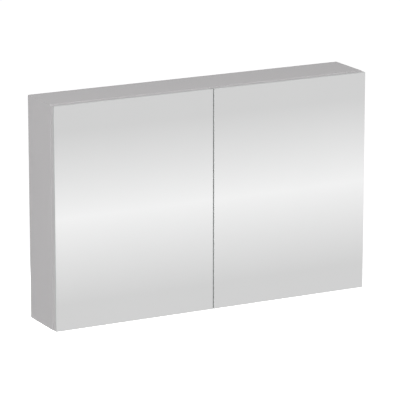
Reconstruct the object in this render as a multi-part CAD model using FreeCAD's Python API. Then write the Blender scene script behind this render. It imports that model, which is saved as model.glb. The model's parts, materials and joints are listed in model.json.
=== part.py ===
import FreeCAD, Part
import math
import os
from FreeCAD import Vector

# Two-door mirror cabinet for a wall, in millimetres.
# X runs to the right, the doors face -Y, the wall is the plane Y = 0 and Z is up.
# The origin is the middle of the four wall screws, in the wall plane.

# Overall size
WIDTH = 1000.0
HEIGHT = 650.0
DEPTH = 170.0

# Boards, glass and doors
BOARD = 16.0
BACK = 4.0
BACK_INSET = 18.0
GROOVE_DEPTH = 6.0
GROOVE_PLAY = 0.2
DOOR_BOARD = 16.0
MIRROR = 4.0
MIRROR_ARRIS = 0.6
DOOR_GAP = 2.0
DOOR_REVEAL = 1.0
MIDDLE_GAP = 3.0
GRIP_HEIGHT = 9.0
GRIP_DEPTH = 24.0
EDGE_ROUND = 0.6

# Shelves and their pins
SHELF = 5.0
SHELF_PLAY = 1.5
SHELF_SETBACK = 15.0
SHELVES_PER_SIDE = 2
PIN_RADIUS = 2.5
PIN_BORE_DEPTH = 8.0
PIN_INSET = 37.0
PIN_REAR_INSET = 22.0
PIN_PITCH = 32.0
PIN_COLLAR = 4.0
PIN_TONGUE = 8.0
PIN_END_PLAY = 0.5

# Carcass fittings
CAM_RADIUS = 7.5
CAM_BORE_DEPTH = 12.5
CAM_REACH = 24.0
CAM_CROSS = 10.0
CAM_CROSS_WIDTH = 1.6
CAM_CROSS_DEPTH = 1.6
BOLT_RADIUS = 3.5
BOLT_THREAD = 2.5
BOLT_THREAD_DEPTH = 11.5
BOLT_WAIST = 2.0
BOLT_WAIST_LENGTH = 4.0
BOLT_HEAD = 2.5
BOLT_TIP = 0.5
DOWEL_RADIUS = 4.0
DOWEL_LENGTH = 30.0
DOWEL_BEVEL = 1.0
FITTING_INSET = 30.0
FITTING_REAR_INSET = 18.0
END_PLAY = 0.5
FIT = 0.1

# Wall hangers
HANG_DROP = 60.0
SCREW_PITCH_Z = 32.0
WALL_SCREW_RADIUS = 2.75
PLATE_WIDTH = 40.0
PLATE_HEIGHT = 64.0
PLATE = 2.0
LIP_STEP = 4.5
LIP_HEIGHT = 10.0
LIP_TOP = 36.0
BEND_RADIUS = 0.8
PLATE_CORNER = 3.0
HANGER_WIDTH = 44.0
HANGER_LOW = -26.0
HANGER_COVER = 1.0
HANGER_WALL = 2.0
HANGER_ROUND = 4.0
HANGER_PLAY = 0.3
HANGER_PEG_RADIUS = 4.0
PEG_DEPTH = 11.5
PEG_PITCH = 28.0
HOOK = 2.5
HOOK_WIDTH = 24.0
HOOK_LOW = -20.0
HOOK_TIP = 6.0
HOOK_PLAY = 0.7
ADJUSTER_RADIUS = 2.5
ADJUSTER_HEAD = 4.0
ADJUSTER_HEAD_DEPTH = 2.8
ADJUSTER_LOW = -9.0
ADJUSTER_PITCH = 23.0
ACCESS_RADIUS = 4.5
DRIVER_SLOT = 1.0
DRIVER_SLOT_DEPTH = 1.2

# Concealed hinges
HINGE_INSET = 100.0
CUP_RADIUS = 17.5
CUP_DEPTH = 12.8
CUP_EDGE = 5.0
CUP_WALL = 1.0
CUP_FLANGE = 1.2
CUP_RIM = 0.8
CUP_FLOOR = 0.6
CUP_POCKET_HALF = 8.2
CUP_SCREW_PITCH = 45.0
CUP_SCREW_OFFSET = 9.5
CUP_SCREW_RADIUS = 1.7
CUP_SCREW_LENGTH = 12.0
CUP_SCREW_TIP = 3.0
CUP_WING_HALF = 6.5
PLATE_SCREW_SETBACK = 37.0
PLATE_SCREW_PITCH = 32.0
PLATE_SCREW_RADIUS = 2.5
PLATE_SCREW_DEPTH = 12.0
PLATE_SCREW_HEAD = 4.5
PLATE_SCREW_HEAD_DEPTH = 2.4
HINGE_BASE = 2.2
WING_HALF = 8.0
RAIL_HALF = 5.6
RAIL_START = 1.0
ARM_HALF = 4.2
NOSE_HALF = 3.0
NOSE_OPENING = 2.0
ARM_SHEET = 1.5
ARM_OUTER = 7.7
OUTER_LINK_Z = (4.0, 5.8)
INNER_LINK_Z = 3.4
LINK_HALF = 1.5
LINK_EYE = 2.0
WEB_START = 6.0
WEB_END = 3.0
WEB_INNER = 0.5
PIVOT_RADIUS = 1.0
PIVOT_SEAT = 2.0
PIVOT_SEAT_PLAY = 0.2
PIVOT_PROUD = 0.4
RUNNING = 0.05
OVERCUT = 1.0
ARM_ADJUSTER_RADIUS = 2.4
ARM_ADJUSTER_HEAD = 3.6
ARM_ADJUSTER_HEAD_DEPTH = 2.4
ARM_ADJUSTER_SETBACKS = (38.0, 56.0)
RAIL_PLAY = 0.3
RAIL_FLOOR = 3.0
BUMPER_RADIUS = 3.2
BUMPER_PLAY = 0.1
BUMPER_INSET = 30.0

# Pivots in plan. Those on the arm are counted inwards from the side panel's inner face and forwards
# from the carcass's front edge, those in the cup from the door's edge and from its back.
OUTER_ARM_PIVOT = (21.4, -6.6)
INNER_ARM_PIVOT = (22.0, -2.5)
OUTER_CUP_PIVOT = (10.0, 2.7)
INNER_CUP_PIVOT = (10.35, 6.3)
OUTER_LINK_BEND = (14.5, 4.5)
INNER_LINK_BEND = (18.75, 9.25)
SLOT_REACH = (-1.4, 0.98)
SLOT_PLAY = 0.35
SLOT_WALL = 0.7
ARM_HEEL = (13.0, -32.0)
ARM_TAIL = (13.0, -66.0)

# Places that follow from the sizes above
HALF = WIDTH / 2
INNER = HALF - BOARD
TOP = HANG_DROP
BOTTOM = TOP - HEIGHT
CEILING = TOP - BOARD
FLOOR = BOTTOM + BOARD
MID_HEIGHT = (TOP + BOTTOM) / 2
FRONT = MIRROR + DOOR_BOARD + DOOR_GAP - DEPTH
BACK_REAR = -BACK_INSET
BACK_FACE = BACK_REAR - BACK
DOOR_BACK = FRONT - DOOR_GAP
DOOR_FACE = DOOR_BACK - DOOR_BOARD
DOOR_EDGE = DOOR_REVEAL - HALF
HANGER_X = INNER - HANGER_WIDTH / 2
HANGER_FRONT = BACK_REAR + HANGER_PLAY
HOOK_BACK = -PLATE - LIP_STEP - HOOK / 2
HANGER_REAR = HOOK_BACK + HANGER_PLAY
HANGER_HIGH = LIP_TOP + HOOK + HANGER_COVER
ADJUSTER_LEVELS = [ADJUSTER_LOW, ADJUSTER_LOW + ADJUSTER_PITCH]
CUP_X = DOOR_EDGE + CUP_EDGE + CUP_RADIUS
HINGE_LEVELS = {"upper": TOP - HINGE_INSET, "lower": BOTTOM + HINGE_INSET}
SHELF_STEP = (CEILING - FLOOR) / (SHELVES_PER_SIDE + 1)
SHELF_LEVELS = [FLOOR + SHELF_STEP * (i + 1) for i in range(SHELVES_PER_SIDE)]
PIN_ROWS = [FRONT + PIN_INSET, BACK_FACE - PIN_REAR_INSET]
FITTING_ROWS = [FRONT + FITTING_INSET, BACK_FACE - FITTING_REAR_INSET]


def box(x0, x1, y0, y1, z0, z1):
    return Part.makeBox(x1 - x0, y1 - y0, z1 - z0, Vector(x0, y0, z0))


def rod(start, direction, radius, length):
    return Part.makeCylinder(radius, length, Vector(*start), Vector(*direction))


def turned(profile):
    """Solid of revolution about X from (x, radius) points."""
    points = [Vector(x, r, 0) for x, r in profile]
    outline = Part.makePolygon(points + [points[0]])
    return Part.Face(outline).revolve(Vector(0, 0, 0), Vector(1, 0, 0), 360)


def placed(shape, origin, x_axis, z_axis):
    """Copy of a shape whose own X and Z axes point the given ways from the origin point."""
    spin = FreeCAD.Rotation(Vector(*x_axis), Vector(0, 0, 0), Vector(*z_axis), "XZY")
    copy = shape.copy()
    copy.Placement = FreeCAD.Placement(Vector(*origin), spin)
    return copy


def mirrored(shape):
    """The same piece on the other side of the cabinet's middle plane."""
    return shape.mirror(Vector(0, 0, 0), Vector(1, 0, 0))


def rounded_outline(corners):
    """Closed wire through (point, radius) corners, each rounded by its own radius."""
    bends = []
    for i, (corner, radius) in enumerate(corners):
        back = (corners[i - 1][0] - corner).normalize()
        ahead = (corners[(i + 1) % len(corners)][0] - corner).normalize()
        half = back.getAngle(ahead) / 2
        reach = radius / math.tan(half)
        inwards = (back + ahead).normalize() * (radius / math.sin(half) - radius)
        bends.append((corner + back * reach, corner + inwards, corner + ahead * reach))
    edges = []
    for i, (start, middle, end) in enumerate(bends):
        if corners[i][1] > 0:
            edges.append(Part.Arc(start, middle, end).toShape())
        edges.append(Part.LineSegment(end, bends[(i + 1) % len(bends)][0]).toShape())
    return Part.Wire(edges)


def eased(board, shown):
    """Board with a small round on the edges whose middle points are picked as shown."""
    return board.makeFillet(EDGE_ROUND, [e for e in board.Edges if shown(e.CenterOfMass)])


def at_front(point):
    """True for a point on the front edge of a carcass board."""
    return point.y < FRONT + EDGE_ROUND


def cut_all(shape, tools):
    return shape.cut(Part.makeCompound(tools)) if tools else shape


def save(name, *solids):
    shape = solids[0] if len(solids) == 1 else Part.makeCompound(list(solids))
    shape.exportStep("parts/" + name + ".step")


# Joints of the carcass: each is a point on the meeting face, the way into the board that holds
# the cam and the way from that board's bored face into its core.
def corner_joints(rows):
    joints = []
    for side in (-1, 1):
        for level, core in ((TOP - BOARD / 2, 1), (BOTTOM + BOARD / 2, -1)):
            for y in rows:
                joints.append(((side * INNER, y, level), (-side, 0, 0), (0, 0, core)))
    return joints


def partition_joints(rows):
    joints = []
    for level, inward in ((CEILING, -1), (FLOOR, 1)):
        for y in rows:
            joints.append(((0, y, level), (0, 0, inward), (1, 0, 0)))
    return joints


def middle_row():
    return [sum(FITTING_ROWS) / 2]


def cam_lock():
    """Cam disc: flush with the bored face, open towards the joint for the bolt's head."""
    base = -BOARD / 2
    disc = Part.makeCylinder(CAM_RADIUS - FIT, CAM_BORE_DEPTH - FIT, Vector(CAM_REACH, 0, base))
    pocket = rod((CAM_REACH - CAM_RADIUS, 0, 0), (1, 0, 0), BOLT_RADIUS + FIT,
                 CAM_RADIUS + BOLT_HEAD + BOLT_TIP + END_PLAY)
    long, wide = CAM_CROSS / 2, CAM_CROSS_WIDTH / 2
    slot = box(CAM_REACH - long, CAM_REACH + long, -wide, wide, base, base + CAM_CROSS_DEPTH)
    cross = box(CAM_REACH - wide, CAM_REACH + wide, -long, long, base, base + CAM_CROSS_DEPTH)
    return disc.cut(pocket).cut(slot.fuse(cross))


def cam_bolt():
    """Threaded end in the upright board, plain shank, waist and head inside the cam."""
    thread = BOLT_THREAD - FIT
    shank = BOLT_RADIUS - FIT
    start = FIT - BOLT_THREAD_DEPTH
    waist = CAM_REACH - BOLT_WAIST_LENGTH
    head = CAM_REACH + BOLT_HEAD
    return turned([
        (start, 0), (start, thread - BOLT_TIP), (start + BOLT_TIP, thread), (0, thread), (0, shank),
        (waist, shank), (waist, BOLT_WAIST), (CAM_REACH, BOLT_WAIST), (CAM_REACH, shank), (head, shank),
        (head + BOLT_TIP, shank - BOLT_TIP), (head + BOLT_TIP, 0)])


def dowel():
    radius = DOWEL_RADIUS - FIT
    start = FIT - BOLT_THREAD_DEPTH
    end = start + DOWEL_LENGTH
    tip = radius - DOWEL_BEVEL
    return turned([
        (start, 0), (start, tip), (start + DOWEL_BEVEL, radius),
        (end - DOWEL_BEVEL, radius), (end, tip), (end, 0)])


def bolt_seat():
    return rod((-BOLT_THREAD_DEPTH, 0, 0), (1, 0, 0), BOLT_THREAD, BOLT_THREAD_DEPTH)


def cam_seat():
    disc = Part.makeCylinder(CAM_RADIUS, CAM_BORE_DEPTH, Vector(CAM_REACH, 0, -BOARD / 2))
    return disc.fuse(rod((0, 0, 0), (1, 0, 0), BOLT_RADIUS, CAM_REACH))


def dowel_seat():
    return rod((-BOLT_THREAD_DEPTH, 0, 0), (1, 0, 0), DOWEL_RADIUS, DOWEL_LENGTH + END_PLAY)


def at_joints(shape, joints):
    return [placed(shape, *joint) for joint in joints]


CAM_CORNERS = corner_joints(FITTING_ROWS)
CAM_PARTITION = partition_joints(FITTING_ROWS)
DOWEL_CORNERS = corner_joints(middle_row())
DOWEL_PARTITION = partition_joints(middle_row())


def back_groove():
    """Space of the back panel and its groove play, all round the carcass."""
    reach = GROOVE_DEPTH
    return box(-INNER - reach, INNER + reach, BACK_FACE - GROOVE_PLAY / 2, BACK_REAR + GROOVE_PLAY / 2,
               FLOOR - reach, CEILING + reach)


def pin_heights():
    """Three bores for each pin: the level in use, one above and one below."""
    below_shelf = SHELF / 2 + PIN_RADIUS
    return [level - below_shelf + step * PIN_PITCH for level in SHELF_LEVELS for step in (-1, 0, 1)]


def pin_bores(x0, x1):
    return [rod((x0, y, z), (1, 0, 0), PIN_RADIUS, x1 - x0) for y in PIN_ROWS for z in pin_heights()]


def left_side_panel():
    panel = box(-HALF, -INNER, FRONT, 0, BOTTOM, TOP)
    panel = eased(panel, lambda c: c.x < -INNER or at_front(c) and abs(c.z - MID_HEIGHT) < EDGE_ROUND)
    bores = pin_bores(-INNER - PIN_BORE_DEPTH, -INNER)
    bores += at_joints(bolt_seat(), CAM_CORNERS[:len(CAM_CORNERS) // 2])
    bores += at_joints(dowel_seat(), DOWEL_CORNERS[:len(DOWEL_CORNERS) // 2])
    bores += hanger_peg_bores()
    bores += plate_screw_bores()
    return cut_all(panel.cut(back_groove()), bores)


def top_panel():
    panel = box(-INNER, INNER, FRONT, 0, CEILING, TOP)
    panel = eased(panel, lambda c: abs(c.x) < EDGE_ROUND and (at_front(c) or c.z > TOP - EDGE_ROUND))
    bores = at_joints(cam_seat(), [j for j in CAM_CORNERS if j[0][2] > 0])
    bores += at_joints(dowel_seat(), [j for j in DOWEL_CORNERS + DOWEL_PARTITION if j[0][2] > 0])
    bores += at_joints(bolt_seat(), [j for j in CAM_PARTITION if j[0][2] > 0])
    return cut_all(panel.cut(back_groove()), bores)


def bottom_panel():
    """Bottom board; its underside is bevelled along the front as a grip behind the doors' lower edge."""
    panel = box(-INNER, INNER, FRONT, 0, BOTTOM, FLOOR)
    grip = Part.makePolygon([
        Vector(-INNER, FRONT, BOTTOM), Vector(-INNER, FRONT + GRIP_DEPTH, BOTTOM),
        Vector(-INNER, FRONT, BOTTOM + GRIP_HEIGHT), Vector(-INNER, FRONT, BOTTOM)])
    panel = panel.cut(Part.Face(grip).extrude(Vector(2 * INNER, 0, 0)))
    panel = eased(panel, lambda c: abs(c.x) < EDGE_ROUND and at_front(c))
    bores = at_joints(cam_seat(), [j for j in CAM_CORNERS if j[0][2] < 0])
    bores += at_joints(dowel_seat(), [j for j in DOWEL_CORNERS + DOWEL_PARTITION if j[0][2] < 0])
    bores += at_joints(bolt_seat(), [j for j in CAM_PARTITION if j[0][2] < 0])
    return cut_all(panel.cut(back_groove()), bores)


def centre_partition():
    panel = box(-BOARD / 2, BOARD / 2, FRONT, BACK_FACE, FLOOR, CEILING)
    panel = eased(panel, lambda c: at_front(c) and abs(c.z - MID_HEIGHT) < EDGE_ROUND)
    bores = pin_bores(-BOARD / 2, BOARD / 2)
    bores += at_joints(cam_seat(), CAM_PARTITION)
    bores += at_joints(dowel_seat(), DOWEL_PARTITION)
    return cut_all(panel, bores)


def back_panel():
    """Sheet in the grooves of the four outer boards, with holes to reach the hanger screws."""
    reach = GROOVE_DEPTH - GROOVE_PLAY
    panel = box(-INNER - reach, INNER + reach, BACK_FACE, BACK_REAR, FLOOR - reach, CEILING + reach)
    holes = []
    for side in (-1, 1):
        for z in ADJUSTER_LEVELS:
            holes.append(rod((side * HANGER_X, BACK_FACE, z), (0, 1, 0), ACCESS_RADIUS, BACK))
    return cut_all(panel, holes)


def glass_shelf(level):
    """Left-hand shelf at one level, its edges ground off."""
    shelf = box(-INNER + SHELF_PLAY, -BOARD / 2 - SHELF_PLAY, FRONT + SHELF_SETBACK, BACK_FACE - SHELF_PLAY,
                level - SHELF / 2, level + SHELF / 2)
    return shelf.makeChamfer(MIRROR_ARRIS, shelf.Edges)


def shelf_pin():
    """Peg, collar and tongue along X; the tongue is flat on top where the shelf lies."""
    peg = PIN_RADIUS - FIT
    tongue = PIN_COLLAR - PIN_END_PLAY
    start = PIN_END_PLAY - PIN_BORE_DEPTH
    end = SHELF_PLAY + PIN_TONGUE
    pin = turned([
        (start, 0), (start, peg), (0, peg), (0, PIN_COLLAR), (SHELF_PLAY - FIT, PIN_COLLAR),
        (SHELF_PLAY - FIT, tongue), (end, tongue), (end, 0)])
    above = box(SHELF_PLAY - FIT, end, -PIN_COLLAR, PIN_COLLAR, PIN_RADIUS, PIN_COLLAR)
    return pin.cut(above)


def shelf_pins():
    pins = []
    for level in SHELF_LEVELS:
        z = level - SHELF / 2 - PIN_RADIUS
        for y in PIN_ROWS:
            for x, way in ((-INNER, 1), (-BOARD / 2, -1), (BOARD / 2, 1), (INNER, -1)):
                pins.append(placed(shelf_pin(), (x, y, z), (way, 0, 0), (0, 0, 1)))
    return pins


def bent_sheet(profile, width):
    """Left-hand strip with an outline of (y, z, radius) corners, centred on the hanger's middle."""
    corners = [(Vector(-HANGER_X - width / 2, y, z), radius) for y, z, radius in profile]
    return Part.Face(rounded_outline(corners)).extrude(Vector(width, 0, 0))


def left_wall_plate():
    """Flat plate on the wall with a lip that stands off it, and the holes for two wall screws."""
    low = LIP_TOP - PLATE_HEIGHT
    step_top = LIP_TOP - LIP_HEIGHT
    step = step_top - LIP_STEP
    bend = PLATE * math.tan(math.radians(22.5))
    outside = BEND_RADIUS + PLATE
    plate = bent_sheet([
        (0, low, 0), (-PLATE, low, 0), (-PLATE, step, BEND_RADIUS), (-PLATE - LIP_STEP, step_top, outside),
        (-PLATE - LIP_STEP, LIP_TOP, 0), (-LIP_STEP, LIP_TOP, 0), (-LIP_STEP, step_top + bend, BEND_RADIUS),
        (0, step + bend, outside)], PLATE_WIDTH)
    corners = [e for e in plate.Edges if e.BoundBox.XLength < 1e-6 and e.BoundBox.ZLength < 1e-6]
    plate = plate.makeFillet(PLATE_CORNER, corners)
    holes = [rod((-HANGER_X, -PLATE, way * SCREW_PITCH_Z / 2), (0, 1, 0), WALL_SCREW_RADIUS, PLATE)
             for way in (-1, 1)]
    return cut_all(plate, holes)


def left_hanger_hook():
    """Strip in the housing's slot, bent back over the wall plate's lip and down behind it."""
    under = LIP_TOP + HANGER_PLAY / 2
    over = under + HOOK
    tip_front = -LIP_STEP + HOOK_PLAY
    leg_front = HOOK_BACK - HOOK
    outside = BEND_RADIUS + HOOK
    return bent_sheet([
        (leg_front, HOOK_LOW, 0), (HOOK_BACK, HOOK_LOW, 0), (HOOK_BACK, under, BEND_RADIUS),
        (tip_front, under, BEND_RADIUS), (tip_front, LIP_TOP - HOOK_TIP, 0),
        (tip_front + HOOK, LIP_TOP - HOOK_TIP, 0), (tip_front + HOOK, over, outside),
        (leg_front, over, outside)], HOOK_WIDTH)


def hanger_pegs(radius, depth):
    y = (HANGER_FRONT + HANGER_REAR) / 2
    return [rod((-INNER - depth, y, way * PEG_PITCH / 2), (1, 0, 0), radius, depth) for way in (-1, 1)]


def hanger_peg_bores():
    return hanger_pegs(HANGER_PEG_RADIUS, PEG_DEPTH)


def adjuster_seat(side, z):
    head = rod((side * HANGER_X, HANGER_FRONT, z), (0, 1, 0), ADJUSTER_HEAD + FIT, ADJUSTER_HEAD_DEPTH)
    return head.fuse(rod((side * HANGER_X, HANGER_FRONT, z), (0, 1, 0), ADJUSTER_RADIUS + FIT,
                         HANGER_REAR - HANGER_FRONT))


def housing_pockets():
    """Cored-out spaces on the wall side, either side of the hook's slot, with a rib at mid-height."""
    near = HOOK_WIDTH / 2 + HANGER_PLAY + HANGER_WALL
    far = HANGER_WIDTH / 2 - HANGER_WALL
    middle = (HANGER_LOW + HANGER_HIGH) / 2
    pockets = []
    for x0, x1 in ((-HANGER_X - far, -HANGER_X - near), (-HANGER_X + near, -HANGER_X + far)):
        for z0, z1 in ((HANGER_LOW + HANGER_WALL, middle - HANGER_WALL / 2),
                       (middle + HANGER_WALL / 2, HANGER_HIGH - HANGER_WALL)):
            pockets.append(box(x0, x1, HANGER_FRONT + HANGER_WALL, HANGER_REAR, z0, z1))
    return pockets


def left_hanger_housing():
    """Moulded block behind the back panel, pegged into the side panel, slotted for the hook and cored out."""
    block = box(-INNER, -INNER + HANGER_WIDTH, HANGER_FRONT, HANGER_REAR, HANGER_LOW, HANGER_HIGH)
    corners = [e for e in block.Edges if e.BoundBox.ZLength < 1e-6 and e.BoundBox.XLength < 1e-6
               and e.CenterOfMass.x > -HANGER_X]
    block = block.makeFillet(HANGER_ROUND, corners)
    for peg in hanger_pegs(HANGER_PEG_RADIUS - FIT, PEG_DEPTH - END_PLAY):
        block = block.fuse(peg)
    half = HOOK_WIDTH / 2 + HANGER_PLAY
    slot = box(-HANGER_X - half, -HANGER_X + half, HOOK_BACK - HOOK - HANGER_PLAY, HANGER_REAR,
               HOOK_LOW - HANGER_PLAY, HANGER_HIGH)
    return cut_all(block.cut(slot), housing_pockets() + [adjuster_seat(-1, z) for z in ADJUSTER_LEVELS])


def driver_slot(x0, x1, reach):
    """Straight slot across a screw head, along its own X axis from one place to another."""
    return box(x0, x1, -reach, reach, -DRIVER_SLOT / 2, DRIVER_SLOT / 2)


def adjusting_screws():
    """Slotted screws along Y that set the hooks' height and reach."""
    length = HOOK_BACK - HOOK - HANGER_FRONT - 2 * HANGER_PLAY
    screw = turned([
        (FIT, 0), (FIT, ADJUSTER_HEAD), (ADJUSTER_HEAD_DEPTH - FIT, ADJUSTER_HEAD),
        (ADJUSTER_HEAD_DEPTH - FIT, ADJUSTER_RADIUS), (length, ADJUSTER_RADIUS), (length, 0)])
    screw = screw.cut(driver_slot(0, DRIVER_SLOT_DEPTH, ADJUSTER_HEAD))
    return [placed(screw, (side * HANGER_X, HANGER_FRONT, z), (0, 1, 0), (0, 0, 1))
            for side in (-1, 1) for z in ADJUSTER_LEVELS]


def from_arm(place):
    """Point in plan, counted from the left side panel's inner face and the carcass's front edge."""
    return Vector(place[0] - INNER, FRONT - place[1], 0)


def from_door(place):
    """Point in plan, counted from the closed left door's edge and back."""
    return Vector(place[0] + DOOR_EDGE, DOOR_BACK - place[1], 0)


OUTER_A = from_arm(OUTER_ARM_PIVOT)
OUTER_B = from_door(OUTER_CUP_PIVOT)
OUTER_K = from_door(OUTER_LINK_BEND)
INNER_A = from_arm(INNER_ARM_PIVOT)
INNER_B = from_door(INNER_CUP_PIVOT)
INNER_K = from_door(INNER_LINK_BEND)


def bar(path, half, z0, z1):
    """Flat bar with rounded ends along a path in plan, between two heights."""
    outline = Part.makePolygon(path).makeOffset2D(half, 0, False, False, False)
    solid = Part.Face(outline).extrude(Vector(0, 0, z1 - z0))
    solid.translate(Vector(0, 0, z0))
    return solid


def stadium(start, end, radius, rise):
    """Straight bar with round ends, given by its two end centres and the way it is thick."""
    along = (end - start).normalize()
    across = along.cross(Vector(rise).normalize()) * radius
    tip = along * radius
    outline = Part.Wire([
        Part.LineSegment(start + across, end + across).toShape(),
        Part.Arc(end + across, end + tip, end - across).toShape(),
        Part.LineSegment(end - across, start - across).toShape(),
        Part.Arc(start - across, start - tip, start + across).toShape()])
    return Part.Face(outline).extrude(rise)


def pivot(point, radius, z0, z1):
    return rod((point.x, point.y, z0), (0, 0, 1), radius, z1 - z0)


def outer_link():
    """Two cheeks joined by a web on the side that looks into the cabinet."""
    low, high = OUTER_LINK_Z
    along = (OUTER_K - OUTER_A).normalize()
    inwards = Vector(0, 0, 1).cross(along)
    inwards = inwards * math.copysign(1, inwards.y)
    near = OUTER_A + along * WEB_START
    far = OUTER_K - along * WEB_END
    rim = [near + inwards * WEB_INNER, near + inwards * LINK_HALF,
           far + inwards * LINK_HALF, far + inwards * WEB_INNER]
    link = Part.Face(Part.makePolygon(rim + [rim[0]])).extrude(Vector(0, 0, 2 * high))
    link.translate(Vector(0, 0, -high))
    for z0, z1 in ((low, high), (-high, -low)):
        link = link.fuse(bar([OUTER_A, OUTER_K, OUTER_B], LINK_HALF, z0, z1))
        link = link.fuse([pivot(p, LINK_EYE, z0, z1) for p in (OUTER_A, OUTER_B)])
    bores = [pivot(p, PIVOT_RADIUS + RUNNING, -high, high) for p in (OUTER_A, OUTER_B)]
    return cut_all(link, bores).removeSplitter()


def inner_link():
    """Tongue between the cheeks; its eye in the cup is a short slot, the linkage's free pivot."""
    z = INNER_LINK_Z
    start = INNER_B + Vector(0, 0, -z)
    end = start + Vector(SLOT_REACH[0], -SLOT_REACH[1], 0)
    rise = Vector(0, 0, 2 * z)
    tongue = bar([INNER_A, INNER_K, INNER_B], LINK_HALF, -z, z)
    eye = stadium(start, end, PIVOT_RADIUS + SLOT_PLAY + SLOT_WALL, rise)
    slot = stadium(start, end, PIVOT_RADIUS + SLOT_PLAY, rise)
    tongue = tongue.fuse([eye, pivot(INNER_A, LINK_EYE, -z, z)])
    return cut_all(tongue, [slot, pivot(INNER_A, PIVOT_RADIUS + RUNNING, -z, z)]).removeSplitter()


def hinge_arm():
    """Pressed channel over the mounting plate's rail, with a nose that carries both links."""
    inner = ARM_OUTER - ARM_SHEET
    shift = Vector(-ARM_SHEET - OVERCUT, 0, 0)
    arm = arm_outline(Vector(0, 0, 0), 0, ARM_OUTER)
    nose_front = INNER_A.y - NOSE_HALF - OVERCUT
    nose_back = OUTER_A.y + NOSE_HALF + NOSE_OPENING
    tools = [arm_outline(shift, OVERCUT, inner), box(-INNER, 0, nose_front, nose_back, -inner, inner)]
    tools += [pivot(p, PIVOT_RADIUS + RUNNING, -ARM_OUTER, ARM_OUTER) for p in (INNER_A, OUTER_A)]
    tools += [rod((-INNER, FRONT + s, 0), (1, 0, 0), ARM_ADJUSTER_RADIUS + FIT, arm_height())
              for s in ARM_ADJUSTER_SETBACKS]
    return cut_all(arm, tools).removeSplitter()


def arm_outline(shift, extra, half_height):
    """Slim nose and wider tail in plan, moved and widened as asked."""
    heel = from_arm(ARM_HEEL) + shift
    tail = from_arm(ARM_TAIL) + shift
    nose = bar([INNER_A + shift, OUTER_A + shift, heel], NOSE_HALF + extra, -half_height, half_height)
    low = Vector(0, 0, -half_height)
    return nose.fuse(stadium(heel + low, tail + low, ARM_HALF + extra, Vector(0, 0, 2 * half_height)))


def hinge_plate():
    """Cross-shaped plate on the side panel: two screwed wings and the rail that holds the arm."""
    setback = PLATE_SCREW_SETBACK
    wing = PLATE_SCREW_PITCH / 2
    base = stadium(Vector(-INNER, FRONT + setback, -wing), Vector(-INNER, FRONT + setback, wing), WING_HALF,
                   Vector(HINGE_BASE, 0, 0))
    rail = box(-INNER, -INNER + rail_height(), FRONT - ARM_HEEL[1] + RAIL_START, FRONT - ARM_TAIL[1],
               -RAIL_HALF, RAIL_HALF)
    plate = base.fuse(rail).removeSplitter()
    tools = [rod((-INNER, FRONT + setback, way * wing), (1, 0, 0), PLATE_SCREW_RADIUS + FIT, HINGE_BASE)
             for way in (-1, 1)]
    tools += [rod((-INNER + RAIL_FLOOR, FRONT + s, 0), (1, 0, 0), ARM_ADJUSTER_RADIUS + FIT, arm_height())
              for s in ARM_ADJUSTER_SETBACKS]
    return cut_all(plate, tools)


def arm_height():
    """Top of the arm's web above the side panel's inner face."""
    return ARM_HEEL[0] + ARM_HALF


def rail_height():
    return arm_height() - ARM_SHEET - RAIL_PLAY


def arm_adjusting_screw():
    """Screw through the arm's web into the rail, along X from the side panel's inner face."""
    seat = arm_height() + FIT
    start = RAIL_FLOOR + END_PLAY
    head = ARM_ADJUSTER_HEAD
    top = seat + ARM_ADJUSTER_HEAD_DEPTH
    screw = turned([
        (start, 0), (start, ARM_ADJUSTER_RADIUS), (seat, ARM_ADJUSTER_RADIUS), (seat, head),
        (top - EDGE_ROUND, head), (top, head - EDGE_ROUND), (top, 0)])
    return screw.cut(driver_slot(top - DRIVER_SLOT_DEPTH, top + OVERCUT, head))


def plate_screw():
    """Pan-head screw along X from the side panel's inner face."""
    radius = PLATE_SCREW_RADIUS - FIT
    under = HINGE_BASE + FIT
    top = under + PLATE_SCREW_HEAD_DEPTH
    crown = PLATE_SCREW_HEAD_DEPTH / 2
    start = FIT - PLATE_SCREW_DEPTH
    return turned([
        (start, 0), (start + radius, radius), (under, radius), (under, PLATE_SCREW_HEAD),
        (top - crown, PLATE_SCREW_HEAD), (top, PLATE_SCREW_HEAD - crown), (top, 0)])


def plate_screws(level):
    levels = (level - PLATE_SCREW_PITCH / 2, level + PLATE_SCREW_PITCH / 2)
    y = FRONT + PLATE_SCREW_SETBACK
    return [placed(plate_screw(), (-INNER, y, z), (1, 0, 0), (0, 0, 1)) for z in levels]


def arm_adjusting_screws(level):
    return [placed(arm_adjusting_screw(), (-INNER, FRONT + setback, level), (1, 0, 0), (0, 0, 1))
            for setback in ARM_ADJUSTER_SETBACKS]


def plate_screw_bores():
    return [rod((-INNER - PLATE_SCREW_DEPTH, FRONT + PLATE_SCREW_SETBACK, z + way * PLATE_SCREW_PITCH / 2),
                (1, 0, 0), PLATE_SCREW_RADIUS, PLATE_SCREW_DEPTH)
            for z in HINGE_LEVELS.values() for way in (-1, 1)]


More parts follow.
